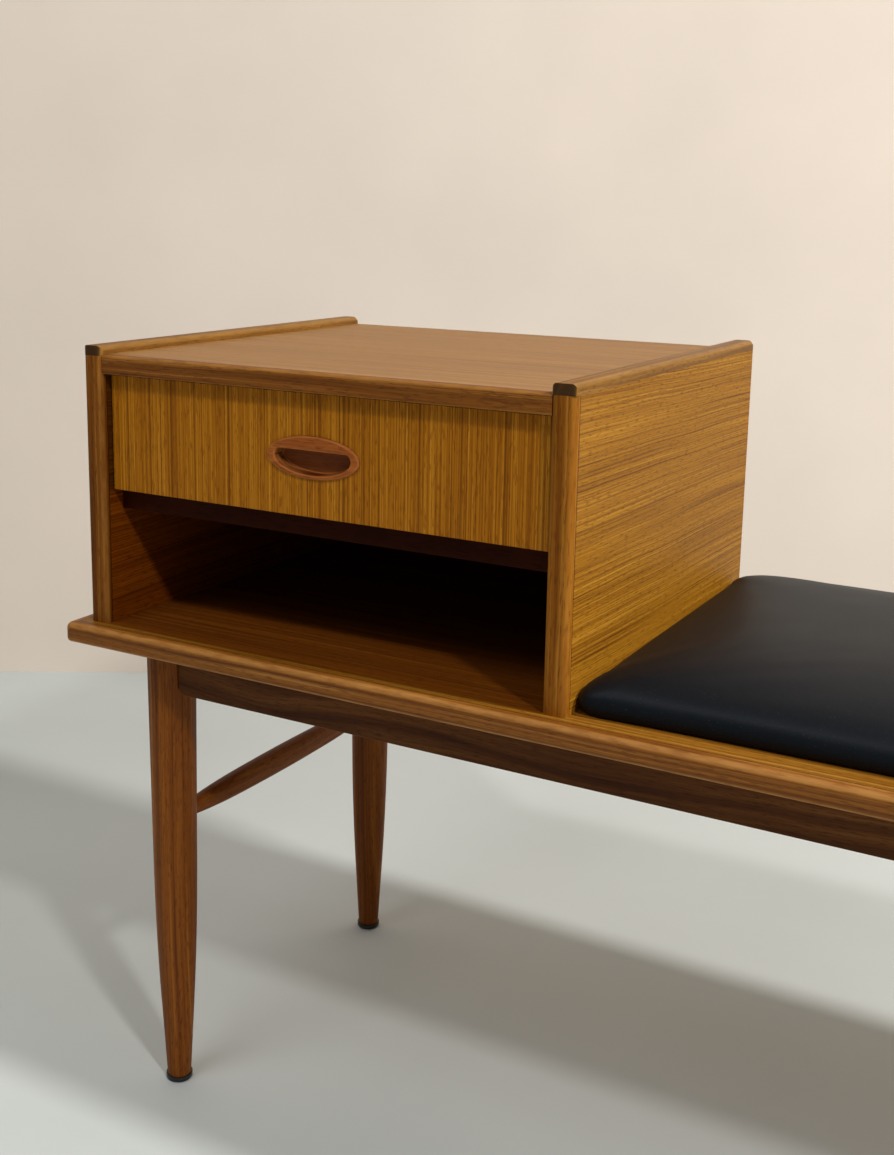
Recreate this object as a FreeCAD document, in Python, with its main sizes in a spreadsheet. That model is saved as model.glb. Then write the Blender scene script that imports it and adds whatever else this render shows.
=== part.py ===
import FreeCAD, Part
import math
import os
import re

import Sketcher

# Telephone bench: a cabinet with one drawer and a padded seat, side by side on one long
# board that four turned legs carry. Millimetres, +Z up, front towards -Y. The origin is
# the middle of the rectangle that the board covers, on the floor.

os.makedirs("parts", exist_ok=True)
doc = FreeCAD.newDocument("TelephoneBench")

# Driving sizes

SIZES = {
    # the long board and where the cabinet and seat stand on it
    "bench_length": 1090, "bench_depth": 404, "seat_height": 409, "board_thick": 16,
    "board_lipping": 8, "board_corner": 6, "board_top_round": 5, "board_low_round": 3,
    "reveal": 15,
    # the cabinet
    "cabinet_width": 420, "cabinet_height": 224, "panel_thick": 18, "panel_lipping": 6,
    "panel_round": 5, "strip_high": 8, "strip_round": 5, "strip_end_round": 2,
    "top_thick": 15, "top_drop": 7, "top_set_back": 2, "top_round": 3, "top_low_round": 1,
    "divider_high": 92, "divider_thick": 16, "divider_set_back": 22, "housing": 5,
    "back_thick": 6, "back_lap": 8, "dowel_wide": 6, "dowel_long": 28, "dowel_spare": 1,
    "dowel_in_panel": 11, "dowel_first": 40, "dowel_pitch": 130,
    # the drawer
    "drawer_recess": 11, "drawer_gap": 1, "front_thick": 18, "front_edge_round": 0.8,
    "run_gap": 0.5, "box_high": 84, "box_long": 329, "side_thick": 10, "lap_thick": 6,
    "tail_end_half": 10.5, "tail_root_half": 8.5, "tail_first": 14, "tail_pitch": 28,
    "bottom_thick": 5, "bottom_high": 7.5, "groove_deep": 5, "box_back_thick": 10,
    "box_back_inset": 8, "stop_long": 30, "stop_deep": 14, "stop_high": 4.5,
    "stop_gap": 0.4, "stop_inset": 70, "bottom_screw_pitch": 112,
    # the oval pull
    "pull_long": 81, "pull_high": 32, "pull_thick": 15, "pull_proud": 2, "pull_round": 1.5,
    "pull_drop": 1.5, "recess_deep": 10, "lip_high": 5.2, "lip_half": 26, "lip_thick": 5,
    "lip_end_swell": 1.6, "recess_half": 33, "recess_side": 1, "side_swell": 1.9,
    "floor_half": 18, "floor_low": 10.4, "floor_swell": 2, "undercut": 4.5,
    "undercut_half": 24,
    # the legs and rails
    "leg_inset_side": 71.5, "leg_inset_front": 47.5, "leg_top": 40, "leg_upper": 36.2,
    "leg_lower": 28, "leg_foot": 20, "leg_upper_high": 200, "leg_lower_high": 75,
    "leg_swell": 0.7, "glide_wide": 22.4, "glide_thick": 5, "glide_round": 2,
    "nail_wide": 3, "nail_long": 14, "rail_high": 40, "rail_thick": 22, "rail_seat": 15.5,
    "rail_corner": 8, "rail_round": 0.8, "tenon_long": 10, "tenon_thick": 8,
    "tenon_high": 24, "tenon_spare": 0.5, "spindle_high": 240, "spindle_end": 13,
    "spindle_shoulder": 20, "spindle_knuckle": 20, "spindle_knee": 75, "spindle_deep": 7,
    "knee_swell": 0.5, "middle_swell": 1,
    "block_long": 60, "block_side": 20, "block_pitch": 300,
    # the seat
    "cushion_gap": 0.5, "cushion_depth": 356, "cushion_corner": 18, "seat_inset": 15,
    "tuck_high": 10, "tuck_in": 6, "crown_rise": 34, "crown_in": 145,
    "crown_fullness": 1.25, "corner_spread": 0.08, "plywood_thick": 12,
    # the screws
    "screw_wide": 4, "screw_head": 8, "cabinet_screw": 38, "seat_screw": 24,
    "block_screw": 28, "pin_wide": 3, "pin_head": 6, "back_screw": 16,
    "screw_spare": 1, "seat_screw_inset": 60, "screw_row": 127, "back_screw_first": 40,
    "back_screw_pitch": 75,
}

sheet = doc.addObject("Spreadsheet::Sheet", "Sizes")
for row, (alias, size) in enumerate(SIZES.items(), start=1):
    sheet.set("A%d" % row, alias)
    sheet.set("B%d" % row, str(size))
    sheet.setAlias("B%d" % row, alias)
doc.recompute()

# Places that several pieces share, as formulas of the sheet

LEFT = "(reveal - bench_length / 2)"
FRONT = "(reveal - bench_depth / 2)"
CABINET_DEPTH = "(bench_depth - 2 * reveal)"
PANEL_DEPTH = "(bench_depth - 2 * reveal - panel_lipping)"
INNER_WIDTH = "(cabinet_width - 2 * panel_thick)"
INNER_LEFT = "(reveal - bench_length / 2 + panel_thick)"
RIGHT_PANEL = "(reveal - bench_length / 2 + cabinet_width - panel_thick)"
TOP_UNDERSIDE = "(cabinet_height - top_drop - top_thick)"
DIVIDER_TOP = "(divider_high + divider_thick)"
BOARD_UNDERSIDE = "(seat_height - board_thick)"
DRAWER_WIDTH = "(cabinet_width - 2 * panel_thick - 2 * drawer_gap)"
DRAWER_LEFT = "(reveal - bench_length / 2 + panel_thick + drawer_gap)"
DRAWER_FRONT = "(reveal - bench_depth / 2 + drawer_recess)"
FRONT_BOARD_HIGH = "(%s - %s - 2 * drawer_gap)" % (TOP_UNDERSIDE, DIVIDER_TOP)
TAIL_LONG = "(front_thick - lap_thick)"
LEG_ACROSS = "(bench_length / 2 - leg_inset_side)"
LEG_BACK = "(bench_depth / 2 - leg_inset_front)"
RAIL_LOW = "(seat_height - board_thick - rail_high)"
SEAT_LEFT = "(reveal - bench_length / 2 + cabinet_width + cushion_gap)"
SEAT_LONG = "(bench_length - 2 * reveal - cabinet_width - cushion_gap)"

# How far the middle of a quarter or an eighth of a turn stands from its corner, per radius

QUARTER_BEND = "(1 - cos(45))"
EIGHTH_BEND = "(1 - cos(22.5))"

# Two measures closer than this are the same

TINY = 0.001

nodes = []


def named(formula):
    """The formula with each size's name pointed at the sheet."""
    return re.sub(r"[a-z_]*[a-z](?!\()\b", lambda word: "Sizes." + word.group(0), str(formula))


def number(formula):
    """The formula's present value."""
    return float(sheet.evalExpression(named(formula)))


def place(thing, across, back, up):
    """Bind an object's position to the sheet."""
    for axis, formula in (("x", across), ("y", back), ("z", up)):
        thing.setExpression("Placement.Base." + axis, named(formula))


def turn(thing, axis, degrees):
    """Turn an object about one axis through its own origin."""
    base = thing.Placement.Base
    thing.Placement = FreeCAD.Placement(base, FreeCAD.Rotation(axis, degrees))


def new_body(label):
    """An empty body that becomes one node."""
    body = doc.addObject("PartDesign::Body", label)
    body.Label = label
    nodes.append(body)
    return body


def new_sketch(host, name, role, level):
    """A sketch on one of the body's origin planes, moved along the plane's axis to level."""
    sketch = host.newObject("Sketcher::SketchObject", name)
    planes = {feature.Role: feature for feature in host.Origin.OriginFeatures}
    sketch.AttachmentSupport = [(planes[role], "")]
    sketch.MapMode = "FlatFace"
    facing = "-" if role == "XZ_Plane" else ""
    sketch.setExpression("AttachmentOffset.Base.z", named("%s(%s)" % (facing, level)))
    return sketch


def bind(sketch, kind, places, formula):
    """One constraint whose value follows a formula."""
    index = sketch.addConstraint(Sketcher.Constraint(kind, *places, number(formula)))
    title = "%s_%d" % (kind.lower(), index)
    sketch.renameConstraint(index, title)
    sketch.setExpression("Constraints." + title, named(formula))


def arc_between(start, end, swell):
    """The arc from start to end that bulges by swell to the right, and whether it is turned."""
    if swell < 0:
        start, end = end, start
    chord = end - start
    rise = abs(swell)
    radius = chord.Length ** 2 / (8 * rise) + rise / 2
    left = FreeCAD.Vector(-chord.y, chord.x, 0).normalize()
    centre = (start + end) * 0.5 + left * (radius - rise)
    first = math.atan2(start.y - centre.y, start.x - centre.x)
    last = math.atan2(end.y - centre.y, end.x - centre.x)
    circle = Part.Circle(centre, FreeCAD.Vector(0, 0, 1), radius)
    return Part.ArcOfCircle(circle, first, last if last > first else last + 2 * math.pi)


def draw(sketch, corners):
    """A closed outline. A corner is (across, up), or (across, up, swell) where the line that
    leaves it is an arc bulging by swell, to the right of its way or, below zero, to the left."""
    spots = [FreeCAD.Vector(number(corner[0]), number(corner[1]), 0) for corner in corners]
    first = sketch.GeometryCount
    ends = []
    for index, corner in enumerate(corners):
        start = spots[index]
        end = spots[(index + 1) % len(spots)]
        swell = number(corner[2]) if len(corner) == 3 else 0
        if swell:
            sketch.addGeometry(arc_between(start, end, swell))
            ends.append((1, 2) if swell > 0 else (2, 1))
        else:
            sketch.addGeometry(Part.LineSegment(start, end))
            ends.append((1, 2))
    for index, corner in enumerate(corners):
        after = (index + 1) % len(corners)
        line = first + index
        joint = (line, ends[index][1], first + after, ends[after][0])
        sketch.addConstraint(Sketcher.Constraint("Coincident", *joint))
        bind(sketch, "DistanceX", (-1, 1, line, ends[index][0]), corner[0])
        bind(sketch, "DistanceY", (-1, 1, line, ends[index][0]), corner[1])
        if len(corner) == 3:
            following = corners[after]
            chord = "((%s) - (%s))^2 + ((%s) - (%s))^2" % (
                following[0], corner[0], following[1], corner[1])
            rise = "abs(%s)" % corner[2]
            bind(sketch, "Radius", (line,), "(%s) / (8 * %s) + %s / 2" % (chord, rise, rise))


def rectangle(left, low, wide, high):
    """The corners of a rectangle."""
    right = "(%s) + (%s)" % (left, wide)
    top = "(%s) + (%s)" % (low, high)
    return [(left, low), (right, low), (right, top), (left, top)]


def circles(sketch, spots, wide):
    """Equal circles about several centres."""
    for across, up in spots:
        centre = FreeCAD.Vector(number(across), number(up), 0)
        ring = sketch.addGeometry(Part.Circle(centre, FreeCAD.Vector(0, 0, 1), number(wide) / 2))
        bind(sketch, "DistanceX", (-1, 1, ring, 3), across)
        bind(sketch, "DistanceY", (-1, 1, ring, 3), up)
        bind(sketch, "Diameter", (ring,), wide)


def oval(sketch, long, high):
    """An ellipse about the sketch's origin."""
    half_long = number(long) / 2
    half_high = number(high) / 2
    tip = FreeCAD.Vector(half_long, 0, 0)
    crown = FreeCAD.Vector(0, half_high, 0)
    ring = sketch.addGeometry(Part.Ellipse(tip, crown, FreeCAD.Vector(0, 0, 0)))
    sketch.exposeInternalGeometry(ring)
    sketch.addConstraint(Sketcher.Constraint("Coincident", ring, 3, -1, 1))
    sketch.addConstraint(Sketcher.Constraint("Horizontal", ring + 1))
    bind(sketch, "Distance", (ring + 1,), long)
    bind(sketch, "Distance", (ring + 2,), high)


def pad(body, sketch, depth, reverse=False, middle=False):
    """Raise a sketch into a solid."""
    feature = body.newObject("PartDesign::Pad", sketch.Name + "Pad")
    feature.Profile = sketch
    feature.Reversed = reverse
    if middle:
        feature.SideType = "Symmetric"
    feature.setExpression("Length", named(depth))
    doc.recompute()
    return feature


def pocket(body, sketch, depth, reverse=False, middle=False):
    """Sink a sketch into the body, and make sure that it took something away."""
    before = body.Shape.Volume
    feature = body.newObject("PartDesign::Pocket", sketch.Name + "Pocket")
    feature.Profile = sketch
    feature.Reversed = reverse
    if middle:
        feature.SideType = "Symmetric"
    feature.setExpression("Length", named(depth))
    doc.recompute()
    if body.Shape.Volume > before - TINY:
        raise RuntimeError("%s cuts nothing from %s" % (sketch.Name, body.Label))
    return feature


def cut_box(body, name, corner, size):
    """A rectangular cut from its low corner and its size along X, Y and Z."""
    sketch = new_sketch(body, name, "XY_Plane", corner[2])
    draw(sketch, rectangle(corner[0], corner[1], size[0], size[1]))
    return pocket(body, sketch, size[2], reverse=True)


def board(label, size, spot):
    """A rectangular board, drawn in plan from its low corner and padded to its height."""
    body = new_body(label)
    sketch = new_sketch(body, label + "_plan", "XY_Plane", "0")
    draw(sketch, rectangle("0", "0", size[0], size[1]))
    pad(body, sketch, size[2])
    place(body, *spot)
    return body


def revolve(body, sketch):
    """Turn a sketch of the XZ plane about Z."""
    feature = body.newObject("PartDesign::Revolution", sketch.Name + "Turned")
    feature.Profile = sketch
    feature.ReferenceAxis = (sketch, ["V_Axis"])
    feature.Angle = 360
    doc.recompute()
    return feature


def edges_at(body, **where):
    """Names of the edges whose ends all lie at the given coordinates."""
    found = []
    for index, edge in enumerate(body.Tip.Shape.Edges, start=1):
        ends = [vertex.Point for vertex in edge.Vertexes]
        if all(abs(getattr(end, axis) - number(formula)) < TINY
               for end in ends for axis, formula in where.items()):
            found.append("Edge%d" % index)
    return found


def round_edges(body, names, radius):
    """Round the named edges of the body's last feature."""
    base = body.Tip
    feature = body.newObject("PartDesign::Fillet", "%s_round_%d" % (body.Name, len(body.Group)))
    feature.Base = (base, names)
    feature.setExpression("Radius", named(radius))
    doc.recompute()
    return feature


def screw_holes(body, name, role, level, spots, wide, depth, head=None, reverse=False):
    """Drilled holes, countersunk where a head is given."""
    sketch = new_sketch(body, name, role, level)
    circles(sketch, spots, wide)
    hole = body.newObject("PartDesign::Hole", name + "Hole")
    hole.Profile = sketch
    doc.recompute()
    before = body.Tip.BaseFeature.Shape.Volume
    hole.Threaded = False
    hole.Reversed = reverse
    hole.DepthType = "Dimension"
    hole.DrillPoint = "Flat"
    hole.setExpression("Diameter", named(wide))
    hole.setExpression("Depth", named(depth))
    if head:
        hole.HoleCutType = "Countersink"
        hole.HoleCutCustomValues = True
        hole.HoleCutCountersinkAngle = 90
        hole.setExpression("HoleCutDiameter", named(head))
    doc.recompute()
    if hole.Shape.Volume > before - TINY:
        raise RuntimeError("%s drills nothing in %s" % (name, body.Label))
    return hole


def group(label, members):
    """Loose equal pieces gathered into one node."""
    gathered = doc.addObject("Part::Compound", label)
    gathered.Label = label
    gathered.Links = members
    nodes.append(gathered)


def free_profile(name, corners):
    """A profile that stands upright on the XZ plane, outside any body."""
    sketch = doc.addObject("Sketcher::SketchObject", name)
    sketch.Placement = FreeCAD.Placement(
        FreeCAD.Vector(0, 0, 0), FreeCAD.Rotation(FreeCAD.Vector(1, 0, 0), 90))
    draw(sketch, corners)
    return sketch


def turned_copies(label, corners, spots, axis=FreeCAD.Vector(0, 0, 1), degrees=0):
    """One turned profile, repeated at several places as one node."""
    profile = free_profile(label + "_profile", corners)
    members = []
    for index, spot in enumerate(spots, start=1):
        copy = doc.addObject("Part::Revolution", "%s_%d" % (label, index))
        copy.Source = profile
        copy.Axis = FreeCAD.Vector(0, 0, 1)
        copy.Angle = 360
        copy.Solid = True
        turn(copy, axis, degrees)
        place(copy, *spot)
        members.append(copy)
    group(label, members)


def wood_screw(wide, head, long):
    """Half the outline of a countersunk screw, its head's face at zero and its shank upward."""
    return [("0", "0"), ("%s / 2" % head, "0"),
            ("%s / 2" % wide, "(%s - %s) / 2" % (head, wide)),
            ("%s / 2" % wide, long), ("0", long)]


# The long board with its four mitred lippings

CORE_LONG = "(bench_length - 2 * board_lipping)"
CORE_DEEP = "(bench_depth - 2 * board_lipping)"
PANEL_MIDDLES = ("reveal + panel_thick / 2 - board_lipping",
                 "reveal + cabinet_width - panel_thick / 2 - board_lipping")
SCREW_ROWS = ("-screw_row", "0", "screw_row")


def bench_board():
    """The veneered core, drilled for the screws that hold the cabinet and the seat."""
    body = board("bench_board", (CORE_LONG, CORE_DEEP, "board_thick"),
                 ("-%s / 2" % CORE_LONG, "-%s / 2" % CORE_DEEP, BOARD_UNDERSIDE))
    under_cabinet = [(across, "%s / 2 + %s" % (CORE_DEEP, row))
                     for across in PANEL_MIDDLES for row in SCREW_ROWS]
    under_seat = [("%s + %s / 2" % (across, CORE_LONG), "%s / 2 + %s" % (CORE_DEEP, row))
                  for across in SEAT_SCREWS for row in ("-screw_row", "screw_row")]
    screw_holes(body, "through_holes", "XY_Plane", "0", under_cabinet + under_seat,
                "screw_wide", "board_thick", head="screw_head", reverse=True)
    pilots = [("%s / 2 + %s" % (CORE_LONG, across), "%s / 2 + %s" % (CORE_DEEP, back))
              for across in BLOCK_COLUMNS for back in BLOCK_ROWS]
    screw_holes(body, "block_pilots", "XY_Plane", "0", pilots, "screw_wide",
                "block_screw - block_side + screw_spare", reverse=True)


def board_lipping(label, long, degrees, spot):
    """One lipping: a mitred strip whose corners each carry half of the board's rounding."""
    body = new_body(label)
    half_turn = "board_corner * %s" % QUARTER_BEND
    swell = "board_corner * %s" % EIGHTH_BEND
    sketch = new_sketch(body, label + "_plan", "XY_Plane", "0")
    draw(sketch, [
        (half_turn, half_turn, swell),
        ("board_corner", "0"),
        ("%s - board_corner" % long, "0", swell),
        ("%s - %s" % (long, half_turn), half_turn),
        ("%s - board_lipping" % long, "board_lipping"),
        ("board_lipping", "board_lipping")])
    pad(body, sketch, "board_thick")
    for level, radius in (("board_thick", "board_top_round"), ("0", "board_low_round")):
        outer = [name for name in edges_at(body, z=level)
                 if body.Tip.Shape.getElement(name).CenterOfMass.y < number("board_lipping") / 2]
        round_edges(body, outer, radius)
    turn(body, FreeCAD.Vector(0, 0, 1), degrees)
    place(body, spot[0], spot[1], BOARD_UNDERSIDE)


def board_lippings():
    """Front, right, rear and left, each turned a quarter on from the one before."""
    half_long = "bench_length / 2"
    half_deep = "bench_depth / 2"
    board_lipping("front_board_lipping", "bench_length", 0, ("-" + half_long, "-" + half_deep))
    board_lipping("right_board_lipping", "bench_depth", 90, (half_long, "-" + half_deep))
    board_lipping("rear_board_lipping", "bench_length", 180, (half_long, half_deep))
    board_lipping("left_board_lipping", "bench_depth", 270, ("-" + half_long, half_deep))


# The cabinet

DOWEL_ROWS = ["dowel_first + %d * dowel_pitch" % index for index in range(3)]
BACK_SCREW_ROWS = ["back_screw_first + %d * back_screw_pitch" % index for index in range(3)]
BACK_HIGH = "(%s + back_lap)" % TOP_UNDERSIDE


def side_panel(label, left_edge, inner_on_right):
    """A veneered side: housing for the divider, rebate for the back, dowel and screw holes."""
    high = "(cabinet_height - strip_high)"
    body = board(label, ("panel_thick", PANEL_DEPTH, high),
                 (left_edge, "%s + panel_lipping" % FRONT, "seat_height"))
    housing_start = "panel_thick - housing" if inner_on_right else "0"
    rebate_start = "panel_thick - back_lap" if inner_on_right else "0"
    first = "divider_set_back - panel_lipping"
    cut_box(body, "divider_housing", (housing_start, first, "divider_high"),
            ("housing", "%s - back_thick - (%s)" % (PANEL_DEPTH, first), "divider_thick"))
    cut_box(body, "back_rebate", (rebate_start, "%s - back_thick" % PANEL_DEPTH, "0"),
            ("back_lap", "back_thick", BACK_HIGH))
    inner = "panel_thick" if inner_on_right else "0"
    dowels = [("%s - panel_lipping" % row, "%s + top_thick / 2" % TOP_UNDERSIDE)
              for row in DOWEL_ROWS]
    screw_holes(body, "dowel_holes", "YZ_Plane", inner, dowels, "dowel_wide",
                "dowel_in_panel + dowel_spare", reverse=not inner_on_right)
    floor_pilots = [("panel_thick / 2", "%s / 2 - panel_lipping + %s" % (CABINET_DEPTH, row))
                    for row in SCREW_ROWS]
    screw_holes(body, "floor_pilots", "XY_Plane", "0", floor_pilots, "screw_wide",
                "cabinet_screw - board_thick + screw_spare", reverse=True)
    lap_middle = ("panel_thick - back_lap / 2" if inner_on_right else "back_lap / 2")
    back_pilots = [(lap_middle, row) for row in BACK_SCREW_ROWS]
    screw_holes(body, "back_pilots", "XZ_Plane", "%s - back_thick" % PANEL_DEPTH, back_pilots,
                "pin_wide", "back_screw - back_thick + screw_spare", reverse=True)


def panel_lippings(side, left_edge):
    """The solid strips on a side's front edge and along its top."""
    front = board(side + "_front_lipping",
                  ("panel_thick", "panel_lipping", "cabinet_height - strip_high"),
                  (left_edge, FRONT, "seat_height"))
    corners = edges_at(front, x="0", y="0") + edges_at(front, x="panel_thick", y="0")
    round_edges(front, corners, "panel_round")
    strip = board(side + "_top_lipping", ("panel_thick", CABINET_DEPTH, "strip_high"),
                  (left_edge, FRONT, "seat_height + cabinet_height - strip_high"))
    long_edges = edges_at(strip, x="0", z="strip_high")
    long_edges += edges_at(strip, x="panel_thick", z="strip_high")
    round_edges(strip, long_edges, "strip_round")
    rear = [name for name in edges_at(strip, y=CABINET_DEPTH)
            if strip.Tip.Shape.getElement(name).CenterOfMass.z > number("strip_high") / 2]
    round_edges(strip, rear, "strip_end_round")


def cabinet_top():
    """The top with its rear rebate and dowel holes, and its solid front lipping."""
    depth = "(%s - top_set_back - panel_lipping)" % CABINET_DEPTH
    low = "seat_height + %s" % TOP_UNDERSIDE
    body = board("top_panel", (INNER_WIDTH, depth, "top_thick"),
                 (INNER_LEFT, "%s + top_set_back + panel_lipping" % FRONT, low))
    cut_box(body, "rear_rebate", ("0", "%s - back_thick" % depth, "0"),
            (INNER_WIDTH, "back_thick", "back_lap"))
    rows = [("%s - top_set_back - panel_lipping" % row, "top_thick / 2") for row in DOWEL_ROWS]
    deep = "dowel_long - dowel_in_panel + dowel_spare"
    screw_holes(body, "left_holes", "YZ_Plane", "0", rows, "dowel_wide", deep, reverse=True)
    screw_holes(body, "right_holes", "YZ_Plane", INNER_WIDTH, rows, "dowel_wide", deep)
    lipping = board("top_front_lipping", (INNER_WIDTH, "panel_lipping", "top_thick"),
                    (INNER_LEFT, "%s + top_set_back" % FRONT, low))
    round_edges(lipping, edges_at(lipping, y="0", z="top_thick"), "top_round")
    round_edges(lipping, edges_at(lipping, y="0", z="0"), "top_low_round")


def cabinet_inside():
    """The divider that the drawer runs on, its two stops, and the back."""
    board("drawer_divider",
          ("%s + 2 * housing" % INNER_WIDTH,
           "%s - divider_set_back - back_thick" % CABINET_DEPTH, "divider_thick"),
          ("%s - housing" % INNER_LEFT, "%s + divider_set_back" % FRONT,
           "seat_height + divider_high"))
    stops = []
    across = ("%s + stop_inset" % INNER_LEFT,
              "%s + %s - stop_inset - stop_long" % (INNER_LEFT, INNER_WIDTH))
    for index, left_edge in enumerate(across, start=1):
        stop = doc.addObject("Part::Box", "drawer_stop_%d" % index)
        for name, formula in (("Length", "stop_long"), ("Width", "stop_deep"),
                              ("Height", "stop_high")):
            stop.setExpression(name, named(formula))
        place(stop, left_edge, "%s + front_thick + stop_gap" % DRAWER_FRONT,
              "seat_height + %s" % DIVIDER_TOP)
        stops.append(stop)
    group("drawer_stops", stops)
    wide = "(%s + 2 * back_lap)" % INNER_WIDTH
    body = board("back_panel", (wide, "back_thick", BACK_HIGH),
                 ("%s - back_lap" % INNER_LEFT, "-%s - back_thick" % FRONT, "seat_height"))
    spots = [(across, row) for across in ("back_lap / 2", "%s - back_lap / 2" % wide)
             for row in BACK_SCREW_ROWS]
    screw_holes(body, "back_holes", "XZ_Plane", "back_thick", spots, "pin_wide",
                "back_thick", head="pin_head", reverse=True)


def cabinet_fixings():
    """Dowels of the top, screws of the back, and screws up through the board."""
    dowel = [("0", "0"), ("dowel_wide / 2", "0"), ("dowel_wide / 2", "dowel_long"),
             ("0", "dowel_long")]
    high = "seat_height + %s + top_thick / 2" % TOP_UNDERSIDE
    starts = ("%s - dowel_in_panel" % INNER_LEFT,
              "%s + dowel_in_panel - dowel_long" % RIGHT_PANEL)
    turned_copies("cabinet_dowels", dowel,
                  [(start, "%s + %s" % (FRONT, row), high)
                   for start in starts for row in DOWEL_ROWS],
                  FreeCAD.Vector(0, 1, 0), 90)
    columns = ("%s - back_lap / 2" % INNER_LEFT, "%s + back_lap / 2" % RIGHT_PANEL)
    turned_copies("back_panel_screws", wood_screw("pin_wide", "pin_head", "back_screw"),
                  [(column, "-" + FRONT, "seat_height + %s" % row)
                   for column in columns for row in BACK_SCREW_ROWS],
                  FreeCAD.Vector(1, 0, 0), 90)
    turned_copies("cabinet_screws", wood_screw("screw_wide", "screw_head", "cabinet_screw"),
                  [("board_lipping - bench_length / 2 + %s" % column, row, BOARD_UNDERSIDE)
                   for column in PANEL_MIDDLES for row in SCREW_ROWS])


# The drawer

TAIL_MIDDLES = ["tail_first + %d * tail_pitch" % index for index in range(3)]
BOX_LOW = "(seat_height + %s + run_gap)" % DIVIDER_TOP
FRONT_LOW = "(seat_height + %s + drawer_gap)" % DIVIDER_TOP
BOX_START = "(%s + lap_thick)" % DRAWER_FRONT


def drawer_side(label, left_edge, inner_on_right):
    """A side with three dovetails forward, a groove for the bottom and a housing behind."""
    body = new_body(label)
    outline = [(TAIL_LONG, "0")]
    outline += [("box_long", "0"), ("box_long", "box_high"), (TAIL_LONG, "box_high")]
    for middle in reversed(TAIL_MIDDLES):
        outline += [(TAIL_LONG, "%s + tail_root_half" % middle),
                    ("0", "%s + tail_end_half" % middle),
                    ("0", "%s - tail_end_half" % middle),
                    (TAIL_LONG, "%s - tail_root_half" % middle)]
    sketch = new_sketch(body, label + "_outline", "YZ_Plane", "0")
    draw(sketch, outline)
    pad(body, sketch, "side_thick")
    inner = "side_thick - groove_deep" if inner_on_right else "0"
    start = "(%s - groove_deep)" % TAIL_LONG
    cut_box(body, "bottom_groove", (inner, start, "bottom_high"),
            ("groove_deep", "box_long - %s" % start, "bottom_thick"))
    cut_box(body, "back_housing",
            (inner, "box_long - box_back_inset - box_back_thick", "bottom_high + bottom_thick"),
            ("groove_deep", "box_back_thick", "box_high - bottom_high - bottom_thick"))
    place(body, left_edge, BOX_START, BOX_LOW)


def drawer_front():
    """The front: sockets for the dovetails at both ends, a groove and the pull's pocket."""
    body = board("drawer_front", (DRAWER_WIDTH, "front_thick", FRONT_BOARD_HIGH),
                 (DRAWER_LEFT, DRAWER_FRONT, FRONT_LOW))
    round_edges(body, edges_at(body, y="0", z=FRONT_BOARD_HIGH) + edges_at(body, y="0", z="0"),
                "front_edge_round")
    lift = "(drawer_gap - run_gap)"
    for name, level, reverse in (("left_sockets", "0", True),
                                 ("right_sockets", DRAWER_WIDTH, False)):
        sketch = new_sketch(body, name, "YZ_Plane", level)
        for middle in TAIL_MIDDLES:
            draw(sketch, [
                ("lap_thick", "%s - tail_end_half - %s" % (middle, lift)),
                ("front_thick", "%s - tail_root_half - %s" % (middle, lift)),
                ("front_thick", "%s + tail_root_half - %s" % (middle, lift)),
                ("lap_thick", "%s + tail_end_half - %s" % (middle, lift))])
        pocket(body, sketch, "side_thick", reverse=reverse)
    cut_box(body, "bottom_groove",
            ("side_thick - groove_deep", "front_thick - groove_deep", "bottom_high - %s" % lift),
            ("%s - 2 * (side_thick - groove_deep)" % DRAWER_WIDTH, "groove_deep", "bottom_thick"))
    sketch = new_sketch(body, "pull_pocket", "XZ_Plane", "0")
    sketch.setExpression("AttachmentOffset.Base.x", named("%s / 2" % DRAWER_WIDTH))
    sketch.setExpression("AttachmentOffset.Base.y", named("%s / 2 - pull_drop" % FRONT_BOARD_HIGH))
    oval(sketch, "pull_long", "pull_high")
    pocket(body, sketch, "pull_thick - pull_proud")


def drawer_pull():
    """The oval pull: a rounded rim, a finger recess with a straight lip, and its undercut."""
    body = new_body("drawer_pull")
    sketch = new_sketch(body, "pull_outline", "XZ_Plane", "-pull_proud")
    oval(sketch, "pull_long", "pull_high")
    pad(body, sketch, "pull_thick", reverse=True)
    round_edges(body, edges_at(body, y="-pull_proud"), "pull_round")
    recess = new_sketch(body, "finger_recess", "XZ_Plane", "-pull_proud")
    draw(recess, [
        ("-lip_half", "lip_high", "lip_end_swell"),
        ("-recess_half", "-recess_side", "side_swell"),
        ("-floor_half", "-floor_low", "floor_swell"),
        ("floor_half", "-floor_low", "side_swell"),
        ("recess_half", "-recess_side", "lip_end_swell"),
        ("lip_half", "lip_high")])
    pocket(body, recess, "recess_deep")
    under = new_sketch(body, "lip_undercut", "XZ_Plane", "lip_thick - pull_proud")
    draw(under, rectangle("-undercut_half", "0", "2 * undercut_half", "lip_high + undercut"))
    pocket(body, under, "recess_deep - lip_thick")
    place(body, "%s + %s / 2" % (DRAWER_LEFT, DRAWER_WIDTH), DRAWER_FRONT,
          "%s + %s / 2 - pull_drop" % (FRONT_LOW, FRONT_BOARD_HIGH))


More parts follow.
